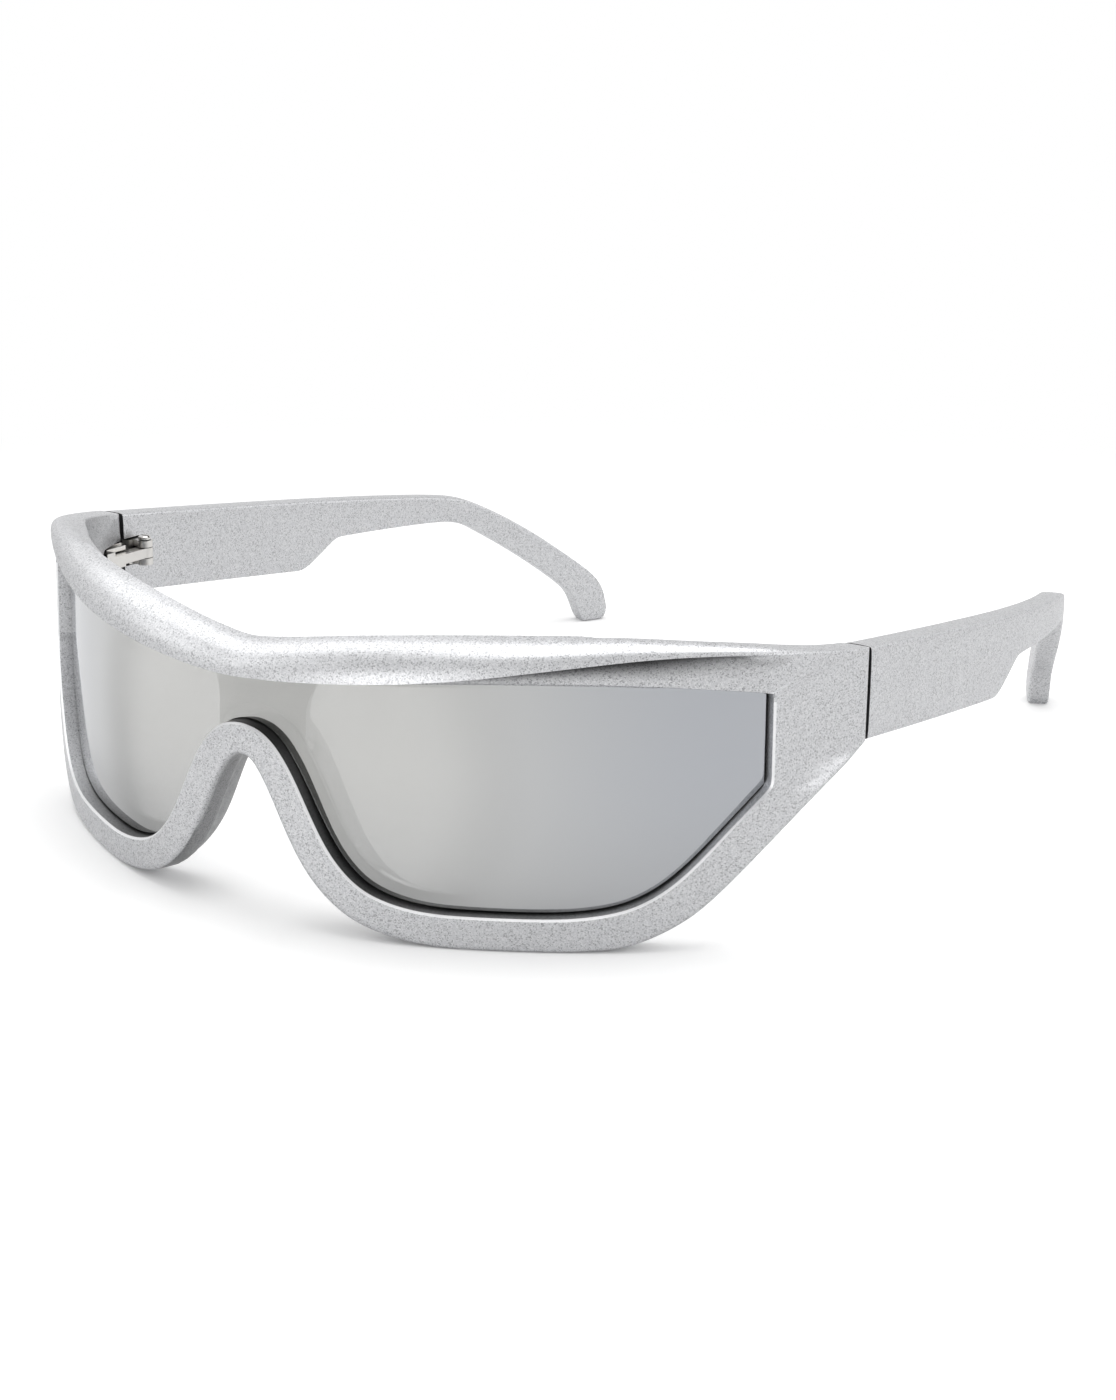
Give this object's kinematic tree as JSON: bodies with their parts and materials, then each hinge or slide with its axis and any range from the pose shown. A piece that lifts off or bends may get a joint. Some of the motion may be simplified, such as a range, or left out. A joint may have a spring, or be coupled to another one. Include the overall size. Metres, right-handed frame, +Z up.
{
  "type": "wraparound sunglasses",
  "caption": "Wraparound sunglasses with a one-piece shield lens, a rolled brow, a moulded nose saddle and flat folding temples with stepped undersides and curved ear hooks.",
  "frame": {"origin": "on the table under the middle of the whole open outline, midway between the wearer's left and right", "axes": "+X points to the wearer's left, the wearer looks along -Y, +Z is up with the glasses standing open on a table"},
  "size_m": [0.14, 0.1662, 0.0433],
  "materials": {
    "silver_paint": "satin",
    "mirror_lens": "polished",
    "nickel": "polished"
  },
  "bodies": {
    "front": {"front_frame": "silver_paint", "shield_lens": "mirror_lens", "left_front_leaf": "nickel", "right_front_leaf": "nickel", "left_hinge_screw": "nickel", "right_hinge_screw": "nickel"},
    "left_side": {"left_temple": "silver_paint", "left_temple_leaf": "nickel"},
    "right_side": {"right_temple": "silver_paint", "right_temple_leaf": "nickel"}
  },
  "joints": [
    {"name": "left_fold", "type": "hinge", "parent": "front", "child": "left_side", "pos_m": [0.0635, -0.02908, 0.0326], "axis": [0, 0, 1], "range_deg": [0, 90]},
    {"name": "right_fold", "type": "hinge", "parent": "front", "child": "right_side", "pos_m": [-0.0635, -0.02908, 0.0326], "axis": [0, 0, -1], "range_deg": [0, 78]}
  ]
}
